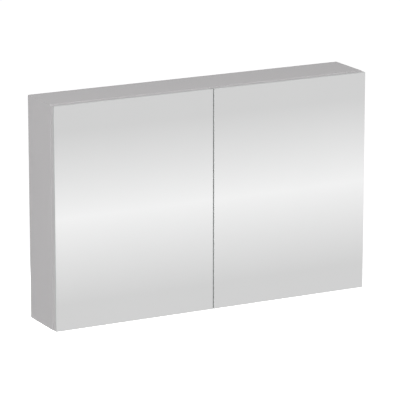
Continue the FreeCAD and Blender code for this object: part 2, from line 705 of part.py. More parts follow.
def hinge_cup():
    """Bowl in the door with a screwed flange on the door's back, open for the links."""
    depth = CUP_DEPTH
    bowl = rod((CUP_X, DOOR_BACK, 0), (0, -1, 0), CUP_RADIUS - FIT, depth)
    ring = rod((CUP_X, DOOR_BACK, 0), (0, 1, 0), CUP_RADIUS + CUP_RIM, CUP_FLANGE)
    half = CUP_SCREW_PITCH / 2
    x = CUP_X + CUP_SCREW_OFFSET
    wings = stadium(Vector(x, DOOR_BACK, -half), Vector(x, DOOR_BACK, half), CUP_WING_HALF,
                    Vector(0, CUP_FLANGE, 0))
    cup = bowl.fuse([ring, wings]).removeSplitter()
    pocket = rod((CUP_X, DOOR_BACK + CUP_FLANGE, 0), (0, -1, 0), CUP_RADIUS - CUP_WALL,
                 depth + CUP_FLANGE - CUP_FLOOR)
    pocket = pocket.common(box(-HALF, 0, -DEPTH, 0, -CUP_POCKET_HALF, CUP_POCKET_HALF))
    reach = CUP_POCKET_HALF + PIVOT_SEAT
    tools = [pocket]
    tools += [pivot(p, PIVOT_RADIUS + RUNNING, -reach, reach) for p in (OUTER_B, INNER_B)]
    tools += [screw_hole(z) for z in (-half, half)]
    return cut_all(cup, tools)


def screw_hole(z):
    """Countersunk hole of a cup screw."""
    x = CUP_X + CUP_SCREW_OFFSET
    radius = CUP_SCREW_RADIUS + FIT
    return Part.makeCone(radius, 2 * radius, CUP_FLANGE, Vector(x, DOOR_BACK, z), Vector(0, 1, 0))


def cup_screw():
    """Countersunk screw along X, flush with the flange."""
    radius = CUP_SCREW_RADIUS
    return turned([
        (FIT, 0), (FIT, 2 * radius - FIT), (CUP_FLANGE, radius),
        (CUP_SCREW_LENGTH - CUP_SCREW_TIP, radius), (CUP_SCREW_LENGTH, 0)])


def cup_screws(level):
    x = CUP_X + CUP_SCREW_OFFSET
    y = DOOR_BACK + CUP_FLANGE
    half = CUP_SCREW_PITCH / 2
    return [placed(cup_screw(), (x, y, level + way * half), (0, -1, 0), (0, 0, 1)) for way in (-1, 1)]


def arm_pins(level):
    z = ARM_OUTER + PIVOT_PROUD
    return [pivot(p, PIVOT_RADIUS, level - z, level + z) for p in (INNER_A, OUTER_A)]


def cup_pins(level):
    """One long pin for the inner link, and two short ones that end clear of it for the outer link."""
    end = CUP_POCKET_HALF + PIVOT_SEAT - PIVOT_SEAT_PLAY
    start = OUTER_LINK_Z[0]
    return [pivot(INNER_B, PIVOT_RADIUS, level - end, level + end),
            pivot(OUTER_B, PIVOT_RADIUS, level + start, level + end),
            pivot(OUTER_B, PIVOT_RADIUS, level - end, level - start)]


def left_door_board():
    board = box(DOOR_EDGE, -MIDDLE_GAP / 2, DOOR_FACE, DOOR_BACK, BOTTOM + DOOR_REVEAL, TOP - DOOR_REVEAL)
    board = eased(board, lambda c: c.y > DOOR_BACK - EDGE_ROUND)
    bores = []
    for level in HINGE_LEVELS.values():
        bores.append(rod((CUP_X, DOOR_BACK, level), (0, -1, 0), CUP_RADIUS, CUP_DEPTH + FIT))
        for way in (-1, 1):
            z = level + way * CUP_SCREW_PITCH / 2
            bores.append(rod((CUP_X + CUP_SCREW_OFFSET, DOOR_BACK, z), (0, -1, 0), CUP_SCREW_RADIUS + FIT,
                             CUP_SCREW_LENGTH))
    return cut_all(board, bores)


def left_mirror():
    glass = box(DOOR_EDGE, -MIDDLE_GAP / 2, DOOR_FACE - MIRROR, DOOR_FACE,
                BOTTOM + DOOR_REVEAL, TOP - DOOR_REVEAL)
    rim = [e for e in glass.Edges if e.BoundBox.YMax < DOOR_FACE - MIRROR / 2]
    return glass.makeChamfer(MIRROR_ARRIS, rim)


def left_bumpers():
    """Soft buttons on the door's back, one against the top board and one against the bottom board."""
    height = DOOR_GAP - BUMPER_PLAY
    button = turned([
        (0, 0), (0, BUMPER_RADIUS), (height / 2, BUMPER_RADIUS),
        (height, BUMPER_RADIUS - height / 2), (height, 0)])
    levels = (CEILING + BOARD / 2, (BOTTOM + GRIP_HEIGHT + FLOOR) / 2)
    return [placed(button, (-BUMPER_INSET, DOOR_BACK, z), (0, 1, 0), (0, 0, 1)) for z in levels]


def raised(shape, level):
    copy = shape.copy()
    copy.translate(Vector(0, 0, level))
    return copy


def save_pair(name, *solids):
    """Saves a left-hand piece and its right-hand twin."""
    save("left_" + name, *solids)
    save("right_" + name, *[mirrored(s) for s in solids])


def build_carcass():
    save_pair("side_panel", left_side_panel())
    save("top_panel", top_panel())
    save("bottom_panel", bottom_panel())
    save("centre_partition", centre_partition())
    save("back_panel", back_panel())
    save("cam_locks", *at_joints(cam_lock(), CAM_CORNERS + CAM_PARTITION))
    save("cam_bolts", *at_joints(cam_bolt(), CAM_CORNERS + CAM_PARTITION))
    save("dowels", *at_joints(dowel(), DOWEL_CORNERS + DOWEL_PARTITION))


def build_shelves():
    for name, level in zip(("lower_shelf", "upper_shelf"), SHELF_LEVELS):
        save_pair(name, glass_shelf(level))
    save("shelf_pins", *shelf_pins())


def build_hangers():
    save_pair("wall_plate", left_wall_plate())
    save_pair("hanger_hook", left_hanger_hook())
    save_pair("hanger_housing", left_hanger_housing())
    save("hanger_adjusting_screws", *adjusting_screws())


def build_hinges():
    screws, adjusters, pins = [], [], []
    cup_pin_list, cup_screw_list = [], []
    for name, level in HINGE_LEVELS.items():
        save_pair(name + "_hinge_plate", raised(hinge_plate(), level))
        save_pair(name + "_hinge_arm", raised(hinge_arm(), level))
        save_pair(name + "_outer_link", raised(outer_link(), level))
        save_pair(name + "_inner_link", raised(inner_link(), level))
        save_pair(name + "_hinge_cup", raised(hinge_cup(), level))
        pins += arm_pins(level)
        cup_pin_list += cup_pins(level)
        cup_screw_list += cup_screws(level)
        screws += plate_screws(level)
        adjusters += arm_adjusting_screws(level)
    save("hinge_arm_pins", *(pins + [mirrored(p) for p in pins]))
    save("hinge_plate_screws", *(screws + [mirrored(s) for s in screws]))
    save("hinge_adjusting_screws", *(adjusters + [mirrored(a) for a in adjusters]))
    save_pair("hinge_cup_pins", *cup_pin_list)
    save_pair("hinge_cup_screws", *cup_screw_list)


def build_doors():
    save_pair("door_board", left_door_board())
    save_pair("mirror", left_mirror())
    save_pair("door_bumpers", *left_bumpers())


os.makedirs("parts", exist_ok=True)
build_carcass()
build_shelves()
build_hangers()
build_hinges()
build_doors()
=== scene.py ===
import json
import math

import bpy
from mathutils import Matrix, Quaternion, Vector


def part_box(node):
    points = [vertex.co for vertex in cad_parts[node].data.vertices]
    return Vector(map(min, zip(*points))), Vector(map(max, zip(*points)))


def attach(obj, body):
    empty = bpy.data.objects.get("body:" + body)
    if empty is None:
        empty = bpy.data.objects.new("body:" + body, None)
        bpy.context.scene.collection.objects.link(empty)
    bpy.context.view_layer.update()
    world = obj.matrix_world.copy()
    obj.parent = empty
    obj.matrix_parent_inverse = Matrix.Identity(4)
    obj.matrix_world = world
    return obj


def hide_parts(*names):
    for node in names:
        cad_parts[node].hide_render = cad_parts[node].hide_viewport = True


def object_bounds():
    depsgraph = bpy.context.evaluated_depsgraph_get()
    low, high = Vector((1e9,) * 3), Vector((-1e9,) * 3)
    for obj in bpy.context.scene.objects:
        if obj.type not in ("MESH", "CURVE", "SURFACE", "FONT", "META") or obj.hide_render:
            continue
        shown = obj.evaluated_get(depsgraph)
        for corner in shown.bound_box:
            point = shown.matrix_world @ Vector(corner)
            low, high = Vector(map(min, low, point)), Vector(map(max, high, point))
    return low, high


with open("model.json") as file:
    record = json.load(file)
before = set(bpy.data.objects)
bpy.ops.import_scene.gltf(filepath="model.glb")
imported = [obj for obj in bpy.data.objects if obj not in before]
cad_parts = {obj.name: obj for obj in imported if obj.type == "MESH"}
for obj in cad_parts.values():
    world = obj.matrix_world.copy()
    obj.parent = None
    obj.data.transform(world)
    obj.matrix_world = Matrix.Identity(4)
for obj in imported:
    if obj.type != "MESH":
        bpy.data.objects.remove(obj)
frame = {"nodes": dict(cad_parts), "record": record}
cad_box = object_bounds()

# Planes of the cabinet in metres: the doors face -Y and the wall is Y = 0
MIRROR_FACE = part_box("left_mirror")[0].y
SHEET_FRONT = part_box("back_panel")[0].y
CARCASS_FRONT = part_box("left_side_panel")[0].y
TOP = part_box("top_panel")[1].z
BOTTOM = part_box("bottom_panel")[0].z

# Photograph's viewpoint
VIEW_AZIMUTH = -27.772
VIEW_ELEVATION = 14.176
VIEW_PLACE = (-3.9039, -7.4999, 1.8326)
VIEW_LENS = 270.0
VIEW_CLIP = 200.0

# Finishes, each from its darker to its lighter tone
CARCASS_LACQUER = ((0.436, 0.426, 0.431), (0.462, 0.452, 0.457))
DOOR_LACQUER = ((0.440, 0.430, 0.435), (0.464, 0.455, 0.460))
SHEET_LACQUER = ((0.505, 0.500, 0.505), (0.530, 0.525, 0.530))
RAW_FIBRES = ((0.155, 0.093, 0.052), (0.240, 0.155, 0.092), (0.330, 0.225, 0.142))
SILVER = ((0.884, 0.886, 0.886), (0.893, 0.894, 0.894))
MIRROR_EDGE = ((0.395, 0.415, 0.405), (0.435, 0.450, 0.442))
CLEAR_GLASS = ((0.955, 0.985, 0.972), (0.970, 0.990, 0.982))
GROUND_GLASS = ((0.84, 0.94, 0.90), (0.92, 0.98, 0.96))
NICKEL = ((0.640, 0.625, 0.598), (0.680, 0.666, 0.640))
ZINC = ((0.555, 0.560, 0.568), (0.610, 0.615, 0.620))
ZINC_FLAKES = ((0.545, 0.553, 0.56), (0.605, 0.612, 0.615))
ZINC_CASTING = ((0.44, 0.44, 0.45), (0.55, 0.55, 0.56))
NYLON = ((0.735, 0.735, 0.722), (0.765, 0.765, 0.755))
BEECH = ((0.50, 0.33, 0.18), (0.66, 0.47, 0.28))
CLEAR_PLASTIC = ((0.88, 0.89, 0.88), (0.91, 0.91, 0.90))

# Seam of the front edge band, depth of the coats in metres, and how the clear materials bend light
SEAM_COLOUR = (0.20, 0.20, 0.20, 1.0)
SEAM_SETBACK = 0.0010
SEAM_HALF = 0.00012
SEAM_STRENGTH = 0.25
SHEET_SKIN = 0.0004
SILVER_SKIN = 0.00005
GLASS_INDEX = 1.52
GLASS_GREEN = (0.55, 0.92, 0.78, 1.0)
GLASS_GREEN_DENSITY = 6.0
PLASTIC_INDEX = 1.48
LEVEL_FACE = 0.9

# Screws and buttons, as (height, radius) steps in millimetres from the foot to the crown
MILLIMETRE = 0.001
PLATE_SCREW_PITCH = 32.0
PLATE_SCREW_STEPS = [(0.0, 0.4), (2.4, 2.4), (14.2, 2.4), (14.2, 4.5), (15.0, 4.5), (15.8, 4.2),
                     (16.3, 3.6), (16.6, 2.6)]
PLATE_SCREW_CROSS = (5.0, 1.0, 1.6)
CUP_SCREW_PITCH = 45.0
CUP_SCREW_STEPS = [(0.0, 0.2), (3.0, 1.7), (10.8, 1.7), (11.9, 3.3)]
CUP_SCREW_CROSS = (3.8, 0.8, 1.2)
BUTTON_STEPS = [(0.0, 3.2), (0.5, 3.2), (1.0, 2.95), (1.45, 2.35), (1.75, 1.5), (1.9, 0.5)]
SCREW_TURN = 37.0
CROSS_TAPER = 0.5
ROUND_SIDES = 40
SMOOTH_ANGLE = 35.0

# Studio: a floor well below the hung cabinet, and screens that only reflections see, which are a card
# for the closed doors, a ground for the open ones and a round screen for what looks past them
WHITE = (1.0, 1.0, 1.0)
SURROUND_LIGHT = 0.45
FLOOR_LEVEL = -1.80
FLOOR_SIZE = 80.0
FLOOR_COLOUR = (0.86, 0.86, 0.86)
FLOOR_ROUGHNESS = 0.9
FLOOR_GLOW = 0.62
SHADE = (0.715, 0.715, 0.715)
HALF = (0.850, 0.850, 0.850)
BAND = (0.995, 0.995, 0.995)
CARD_DISTANCE = 0.60
CARD_WIDTH = 16.0
CARD_TOP = 4.0
CARD_STOPS = [(-1.18, SHADE), (-0.73, BAND), (-0.28, SHADE), (0.116, SHADE), (0.308, HALF), (0.50, BAND),
              (0.692, HALF), (0.884, SHADE), (1.31, SHADE), (1.76, BAND), (2.21, SHADE)]
SCREEN_RADIUS = 9.0
SCREEN_HEIGHT = 9.0
SCREEN_SIDES = 96
SCREEN_STOPS = [(0.30, SHADE), (0.36, HALF), (0.43, BAND), (0.50, HALF), (0.60, BAND)]
GROUND_LIFT = 0.01
GROUND_STOPS = [(0.20, SHADE), (0.29, BAND), (0.40, HALF), (0.555, SHADE), (0.605, HALF), (0.66, BAND),
                (0.717, HALF), (0.772, SHADE)]

# Soft lamps: name, place, size, power and whether the mirrors may show it
LAMPS = [("key_softbox", (-2.75, -5.0, 2.5), 4.0, 368.0, True),
         ("fill_softbox", (3.6, -4.6, 1.4), 2.4, 55.0, True),
         ("rear_softbox", (1.6, 4.6, -0.6), 1.6, 60.0, False)]


def new_material(name):
    material = bpy.data.materials.new(name)
    material.use_nodes = True
    return material, material.node_tree


def add(tree, kind, **settings):
    node = tree.nodes.new(kind)
    for key, value in settings.items():
        setattr(node, key, value)
    return node


def feed(tree, socket, value):
    """Links an output to a socket, or sets the socket's own value."""
    if isinstance(value, bpy.types.NodeSocket):
        tree.links.new(value, socket)
    else:
        socket.default_value = value


def object_point(tree, scale=(1.0, 1.0, 1.0)):
    """Point in the piece's own coordinates, stretched along its axes."""
    coordinates = add(tree, "ShaderNodeTexCoord")
    mapping = add(tree, "ShaderNodeMapping")
    feed(tree, mapping.inputs["Vector"], coordinates.outputs["Object"])
    mapping.inputs["Scale"].default_value = scale
    return mapping.outputs["Vector"]


def noise(tree, point, scale, detail=3.0, roughness=0.5):
    texture = add(tree, "ShaderNodeTexNoise")
    feed(tree, texture.inputs["Vector"], point)
    texture.inputs["Scale"].default_value = scale
    texture.inputs["Detail"].default_value = detail
    texture.inputs["Roughness"].default_value = roughness
    return texture.outputs["Fac"]


def cells(tree, point, scale):
    texture = add(tree, "ShaderNodeTexVoronoi")
    feed(tree, texture.inputs["Vector"], point)
    texture.inputs["Scale"].default_value = scale
    return texture.outputs["Color"]


def math_node(tree, operation, first, second=0.0, third=0.0):
    node = add(tree, "ShaderNodeMath", operation=operation)
    for socket, value in zip(node.inputs, (first, second, third)):
        feed(tree, socket, value)
    return node.outputs["Value"]


def weigh(tree, first, weight, second):
    """Sum of two noises, the first with this weight and the second with what is left of 1."""
    return math_node(tree, "ADD", math_node(tree, "MULTIPLY", first, weight),
                     math_node(tree, "MULTIPLY", second, 1.0 - weight))


def ramp(tree, factor, stops):
    """Colour ramp from (position, colour) stops."""
    node = add(tree, "ShaderNodeValToRGB")
    elements = node.color_ramp.elements
    while len(elements) < len(stops):
        elements.new(1.0)
    for element, (position, colour) in zip(elements, stops):
        element.position = position
        element.color = (*colour, 1.0)
    feed(tree, node.inputs["Fac"], factor)
    return node.outputs["Color"]


def tones(tree, factor, colours, low=0.3, high=0.7):
    """Runs a noise through a finish's tones, which lie evenly from low to high."""
    step = (high - low) / (len(colours) - 1)
    return ramp(tree, factor, [(low + step * number, colour) for number, colour in enumerate(colours)])


def between(tree, factor, low, high):
    """Spreads a 0 to 1 factor over a range of values."""
    node = add(tree, "ShaderNodeMapRange")
    feed(tree, node.inputs["Value"], factor)
    node.inputs["To Min"].default_value = low
    node.inputs["To Max"].default_value = high
    return node.outputs["Result"]


def share(tree, value, low, high):
    """Where a value stands in a range, from 0 to 1."""
    node = add(tree, "ShaderNodeMapRange")
    feed(tree, node.inputs["Value"], value)
    node.inputs["From Min"].default_value = low
    node.inputs["From Max"].default_value = high
    return node.outputs["Result"]


def blend_colours(tree, factor, first, second):
    node = add(tree, "ShaderNodeMix", data_type="RGBA")
    feed(tree, node.inputs["Factor"], factor)
    feed(tree, node.inputs["A"], first)
    feed(tree, node.inputs["B"], second)
    return node.outputs["Result"]


def axis_of(tree, axis):
    """One coordinate of the point in the piece's own frame."""
    coordinates = add(tree, "ShaderNodeTexCoord")
    split = add(tree, "ShaderNodeSeparateXYZ")
    feed(tree, split.inputs["Vector"], coordinates.outputs["Object"])
    return split.outputs[axis]


def height_of(tree):
    return axis_of(tree, "Z")


def narrow_faces(tree):
    """1 on the edges of a level sheet and 0 on its top and underside, whose normals stand upright."""
    coordinates = add(tree, "ShaderNodeTexCoord")
    split = add(tree, "ShaderNodeSeparateXYZ")
    feed(tree, split.inputs["Vector"], coordinates.outputs["Normal"])
    return math_node(tree, "LESS_THAN", math_node(tree, "ABSOLUTE", split.outputs["Z"]), LEVEL_FACE)


def bump(tree, height, strength, distance):
    node = add(tree, "ShaderNodeBump")
    feed(tree, node.inputs["Height"], height)
    node.inputs["Strength"].default_value = strength
    node.inputs["Distance"].default_value = distance
    return node.outputs["Normal"]


def shade(tree, **values):
    """Sets or links the sockets of the material's surface shader, named with underscores."""
    shader = tree.nodes["Principled BSDF"]
    for name, value in values.items():
        socket = shader.inputs[name.replace("_", " ")]
        feed(tree, socket, (*value, 1.0) if isinstance(value, tuple) else value)


def grey_lacquer():
    """Satin grey lacquer on board, with a fine orange peel and a seam behind the front edge band."""
    material, tree = new_material("grey_lacquer")
    point = object_point(tree)
    cloud = noise(tree, point, scale=5.0, detail=4.0)
    grain = noise(tree, point, scale=700.0, detail=2.0)
    tone = tones(tree, weigh(tree, cloud, 0.6, grain), CARCASS_LACQUER, low=0.25, high=0.75)
    seam = math_node(tree, "COMPARE", axis_of(tree, "Y"), CARCASS_FRONT + SEAM_SETBACK, SEAM_HALF)
    line = math_node(tree, "MULTIPLY", seam, SEAM_STRENGTH)
    shade(tree, Base_Color=blend_colours(tree, line, tone, SEAM_COLOUR),
          Roughness=between(tree, cloud, 0.50, 0.62), Specular_IOR_Level=0.30,
          Normal=bump(tree, grain, strength=0.06, distance=0.0002))
    return material


def door_lacquer():
    """The same lacquer on the door boards, a little smoother."""
    material, tree = new_material("door_lacquer")
    point = object_point(tree)
    cloud = noise(tree, point, scale=7.0, detail=4.0)
    grain = noise(tree, point, scale=800.0, detail=2.0)
    tone = tones(tree, weigh(tree, cloud, 0.6, grain), DOOR_LACQUER, low=0.25, high=0.75)
    shade(tree, Base_Color=tone, Roughness=between(tree, cloud, 0.46, 0.56), Specular_IOR_Level=0.30,
          Normal=bump(tree, grain, strength=0.05, distance=0.0002))
    return material


def back_sheet():
    """Fibreboard sheet: lacquered on the inside, raw brown fibres towards the wall."""
    material, tree = new_material("back_sheet")
    fibres = noise(tree, object_point(tree, (1.0, 1.0, 4.0)), scale=90.0, detail=6.0, roughness=0.7)
    specks = noise(tree, object_point(tree), scale=420.0, detail=2.0)
    raw = tones(tree, weigh(tree, fibres, 0.7, specks), RAW_FIBRES)
    lacquer = tones(tree, specks, SHEET_LACQUER)
    rear = math_node(tree, "GREATER_THAN", axis_of(tree, "Y"), SHEET_FRONT + SHEET_SKIN)
    loose = math_node(tree, "MULTIPLY", fibres, rear)
    shade(tree, Base_Color=blend_colours(tree, rear, lacquer, raw), Roughness=between(tree, rear, 0.55, 0.85),
          Specular_IOR_Level=0.25, Normal=bump(tree, loose, strength=0.35, distance=0.0006))
    return material


def silvered_glass():
    """Mirror: silvered behind the face, with the pale green of the glass in its ground edge."""
    material, tree = new_material("silvered_glass")
    haze = noise(tree, object_point(tree), scale=6.0, detail=5.0, roughness=0.6)
    grind = noise(tree, object_point(tree), scale=900.0, detail=2.0)
    face = math_node(tree, "LESS_THAN", axis_of(tree, "Y"), MIRROR_FACE + SILVER_SKIN)
    silver, edge = tones(tree, haze, SILVER), tones(tree, grind, MIRROR_EDGE)
    shade(tree, Base_Color=blend_colours(tree, face, edge, silver), Metallic=face,
          Roughness=math_node(tree, "ADD", between(tree, haze, 0.012, 0.022), between(tree, face, 0.40, 0.0)))
    return material


def shelf_glass():
    """Clear float glass with ground edges, green where the light crosses it lengthways."""
    material, tree = new_material("shelf_glass")
    haze = noise(tree, object_point(tree), scale=9.0, detail=5.0, roughness=0.6)
    grind = noise(tree, object_point(tree, (0.1, 0.1, 1.0)), scale=2500.0, detail=3.0)
    edge = narrow_faces(tree)
    clear, ground = tones(tree, haze, CLEAR_GLASS), tones(tree, grind, GROUND_GLASS)
    matt = math_node(tree, "MULTIPLY", edge, between(tree, grind, 0.42, 0.58))
    shade(tree, Base_Color=blend_colours(tree, edge, clear, ground),
          Roughness=math_node(tree, "ADD", matt, between(tree, haze, 0.004, 0.020)),
          Transmission_Weight=1.0, IOR=GLASS_INDEX)
    absorption = add(tree, "ShaderNodeVolumeAbsorption")
    absorption.inputs["Color"].default_value = GLASS_GREEN
    absorption.inputs["Density"].default_value = GLASS_GREEN_DENSITY
    tree.links.new(absorption.outputs["Volume"], tree.nodes["Material Output"].inputs["Volume"])
    return material


def plated_steel(name, colours, smooth, rough, scale):
    """Pressed and plated steel with a slightly uneven sheen."""
    material, tree = new_material(name)
    cloud = noise(tree, object_point(tree), scale, detail=4.0)
    fine = noise(tree, object_point(tree), scale * 9.0, detail=2.0)
    shade(tree, Base_Color=tones(tree, cloud, colours), Metallic=1.0,
          Roughness=between(tree, fine, smooth, rough),
          Normal=bump(tree, fine, strength=0.03, distance=0.0001))
    return material


def galvanised_steel():
    """Sheet steel with the crystal flakes of hot zinc."""
    material, tree = new_material("galvanised_steel")
    flakes = cells(tree, object_point(tree), scale=620.0)
    shine = add(tree, "ShaderNodeRGBToBW")
    feed(tree, shine.inputs["Color"], flakes)
    level = shine.outputs["Val"]
    shade(tree, Base_Color=tones(tree, level, ZINC_FLAKES, low=0.2, high=0.8), Metallic=1.0,
          Roughness=between(tree, level, 0.36, 0.46))
    return material


def cast_zinc():
    """Dull die-cast metal with a fine skin."""
    material, tree = new_material("cast_zinc")
    skin = noise(tree, object_point(tree), scale=1400.0)
    shade(tree, Base_Color=tones(tree, skin, ZINC_CASTING), Metallic=1.0,
          Roughness=between(tree, skin, 0.42, 0.60), Normal=bump(tree, skin, strength=0.25, distance=0.0001))
    return material


def moulded_nylon():
    """White moulded plastic with a spark-eroded skin."""
    material, tree = new_material("moulded_nylon")
    skin = noise(tree, object_point(tree), scale=1800.0, detail=2.0)
    cloud = noise(tree, object_point(tree), scale=30.0)
    shade(tree, Base_Color=tones(tree, cloud, NYLON), Roughness=between(tree, skin, 0.40, 0.55),
          Normal=bump(tree, skin, strength=0.15, distance=0.0001))
    return material


def beech():
    """Beech dowel with short dark flecks along the grain."""
    material, tree = new_material("beech")
    grain = noise(tree, object_point(tree, (0.12, 1.0, 1.0)), scale=900.0, detail=4.0, roughness=0.6)
    shade(tree, Base_Color=tones(tree, grain, BEECH), Roughness=between(tree, grain, 0.55, 0.75),
          Normal=bump(tree, grain, strength=0.2, distance=0.0002))
    return material


def soft_clear_plastic():
    """Clear buffer plastic, faintly clouded."""
    material, tree = new_material("soft_clear_plastic")
    cloud = noise(tree, object_point(tree), scale=260.0, detail=2.0)
    shade(tree, Base_Color=tones(tree, cloud, CLEAR_PLASTIC), Roughness=between(tree, cloud, 0.20, 0.26),
          Transmission_Weight=0.7, IOR=PLASTIC_INDEX)
    return material


def make_finishes():
    """One finish for each material slot of the record."""
    return {
        "cabinet_board": grey_lacquer(),
        "back_sheet": back_sheet(),
        "shelf_glass": shelf_glass(),
        "mirror_glass": silvered_glass(),
        "hinge_steel": plated_steel("nickel_plate", NICKEL, smooth=0.20, rough=0.28, scale=60.0),
        "screw_steel": plated_steel("zinc_plate", ZINC, smooth=0.26, rough=0.36, scale=90.0),
        "hanger_steel": galvanised_steel(),
        "cam_zinc": cast_zinc(),
        "hanger_plastic": moulded_nylon(),
        "dowel_wood": beech(),
        "bumper_plastic": soft_clear_plastic(),
    }


def finish_nodes(finishes):
    """Gives every CAD piece the finish of its slot in the record; the doors have a smoother coat."""
    door_finish = door_lacquer()
    for part in frame["record"]["subparts"]:
        name = part["node"]
        material = door_finish if name.endswith("door_board") else finishes[part["material_slot"]]
        for slot in frame["nodes"][name].material_slots:
            slot.material = material


def middle_of(node):
    low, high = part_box(node)
    return (low + high) / 2


def pick(*pieces):
    """Selects these pieces alone, the first of them as the active one."""
    bpy.ops.object.select_all(action="DESELECT")
    for piece in pieces:
        piece.select_set(True)
    bpy.context.view_layer.objects.active = pieces[0]


def pick_faces(piece, wanted):
    """Goes to edit mode with the faces selected whose middles are wanted."""
    bpy.ops.object.mode_set(mode="EDIT")
    bpy.ops.mesh.select_mode(type="FACE")
    bpy.ops.mesh.select_all(action="DESELECT")
    bpy.ops.object.mode_set(mode="OBJECT")
    for face in piece.data.polygons:
        face.select = wanted(face.center)
    bpy.ops.object.mode_set(mode="EDIT")


def turned(steps):
    """Shape turned about Z: a disc drawn up, out and in from one (height, radius) step to the next."""
    bpy.ops.object.select_all(action="DESELECT")
    bpy.ops.mesh.primitive_circle_add(vertices=ROUND_SIDES, radius=steps[0][1] * MILLIMETRE, fill_type="NGON")
    shape = bpy.context.object
    bpy.ops.object.mode_set(mode="EDIT")
    bpy.ops.mesh.select_all(action="SELECT")
    for (low, before), (high, after) in zip(steps, steps[1:]):
        rise = (0.0, 0.0, (high - low) * MILLIMETRE)
        bpy.ops.mesh.extrude_region_move(TRANSFORM_OT_translate={"value": rise})
        bpy.ops.transform.resize(value=(after / before, after / before, 1.0), center_override=(0.0, 0.0, 0.0))
    bpy.ops.mesh.select_all(action="SELECT")
    bpy.ops.mesh.normals_make_consistent(inside=False)
    bpy.ops.object.mode_set(mode="OBJECT")
    return shape


def press_cross(screw, top, cross):
    """Presses a cross into the head: two bars that narrow towards their floor are cut from it."""
    length, width, depth = [size * MILLIMETRE for size in cross]
    for turn in (0.0, 90.0):
        bpy.ops.object.select_all(action="DESELECT")
        bpy.ops.mesh.primitive_cube_add(size=1.0, location=(0.0, 0.0, top * MILLIMETRE),
                                        rotation=(0.0, 0.0, math.radians(turn)))
        bar = bpy.context.object
        bar.scale = (length, width, 2 * depth)
        bpy.ops.object.transform_apply(location=True, rotation=True, scale=True)
        pick_faces(bar, lambda middle: middle.z < top * MILLIMETRE - depth / 2)
        bpy.ops.transform.resize(value=(CROSS_TAPER, CROSS_TAPER, 1.0), center_override=(0.0, 0.0, 0.0))
        bpy.ops.object.mode_set(mode="OBJECT")
        pick(screw)
        recess = screw.modifiers.new("recess", "BOOLEAN")
        recess.operation = "DIFFERENCE"
        recess.object = bar
        bpy.ops.object.modifier_apply(modifier=recess.name)
        bpy.data.objects.remove(bar)


def cross_screw(steps, cross):
    screw = turned(steps)
    press_cross(screw, steps[-1][0], cross)
    return screw


def set_out(shape, name, feet, way):
    """One piece of copies of a shape with their feet at these points, each turned on a little."""
    copies = []
    for number, foot in enumerate(feet):
        pick(shape)
        bpy.ops.object.duplicate()
        copy = bpy.context.object
        copy.location = foot
        copy.rotation_mode = "QUATERNION"
        spin = Quaternion((0.0, 0.0, 1.0), math.radians(number * SCREW_TURN))
        copy.rotation_quaternion = Vector(way).to_track_quat("Z", "Y") @ spin
        copies.append(copy)
    pick(*copies)
    bpy.ops.object.transform_apply(location=True, rotation=True, scale=True)
    bpy.ops.object.join()
    piece = bpy.context.object
    bpy.ops.object.shade_smooth_by_angle(angle=math.radians(SMOOTH_ANGLE))
    piece.name = name
    return piece


def fasten(piece, body, slot, finishes, *nodes):
    """Gives a new piece its finish and the CAD body it moves with, in place of these nodes."""
    piece.data.materials.clear()
    piece.data.materials.append(finishes[slot])
    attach(piece, body)
    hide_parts(*nodes)


def levels_about(side, pitch):
    """Heights of a side's hinge screws, half a pitch below and above each hinge."""
    half = pitch * MILLIMETRE / 2
    return [middle_of(f"{side}_{place}_hinge_plate").z + step
            for place in ("upper", "lower") for step in (-half, half)]


def make_plate_screws(finishes):
    """Pan-head screws that hold the hinges to the side panels."""
    node = "hinge_plate_screws"
    y = middle_of(node).y
    shape = cross_screw(PLATE_SCREW_STEPS, PLATE_SCREW_CROSS)
    rows = []
    for side, end, way in (("left", 0, 1.0), ("right", 1, -1.0)):
        feet = [(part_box(node)[end].x, y, z) for z in levels_about(side, PLATE_SCREW_PITCH)]
        rows.append(set_out(shape, side + "_row", feet, (way, 0.0, 0.0)))
    bpy.data.objects.remove(shape)
    pick(*rows)
    bpy.ops.object.join()
    piece = bpy.context.object
    piece.name = "cross_head_plate_screws"
    fasten(piece, "carcass", "screw_steel", finishes, node)


def make_cup_screws(finishes):
    """Countersunk screws that hold the hinge cups to the doors."""
    shape = cross_screw(CUP_SCREW_STEPS, CUP_SCREW_CROSS)
    for side in ("left", "right"):
        node = side + "_hinge_cup_screws"
        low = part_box(node)[0]
        feet = [(middle_of(node).x, low.y, z) for z in levels_about(side, CUP_SCREW_PITCH)]
        piece = set_out(shape, side + "_cross_head_cup_screws", feet, (0.0, 1.0, 0.0))
        fasten(piece, side + "_door", "screw_steel", finishes, node)
    bpy.data.objects.remove(shape)


def make_buttons(finishes):
    """Domed buttons that soften the doors' closing."""
    shape = turned(BUTTON_STEPS)
    radius = BUTTON_STEPS[0][1] * MILLIMETRE
    for side in ("left", "right"):
        node = side + "_door_bumpers"
        low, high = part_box(node)
        feet = [(middle_of(node).x, low.y, z) for z in (low.z + radius, high.z - radius)]
        piece = set_out(shape, side + "_domed_buttons", feet, (0.0, 1.0, 0.0))
        fasten(piece, side + "_door", "bumper_plastic", finishes, node)
    bpy.data.objects.remove(shape)


def add_camera():
    azimuth, elevation = math.radians(VIEW_AZIMUTH), math.radians(VIEW_ELEVATION)
    towards = Vector((-math.sin(azimuth) * math.cos(elevation), math.cos(azimuth) * math.cos(elevation),
                      -math.sin(elevation)))
    data = bpy.data.cameras.new("camera")
    data.lens = VIEW_LENS
    data.clip_end = VIEW_CLIP
    camera = bpy.data.objects.new("camera", data)
    camera.location = VIEW_PLACE
    camera.rotation_mode = "QUATERNION"
    camera.rotation_quaternion = towards.to_track_quat("-Z", "Y")
    bpy.context.scene.collection.objects.link(camera)
    bpy.context.scene.camera = camera


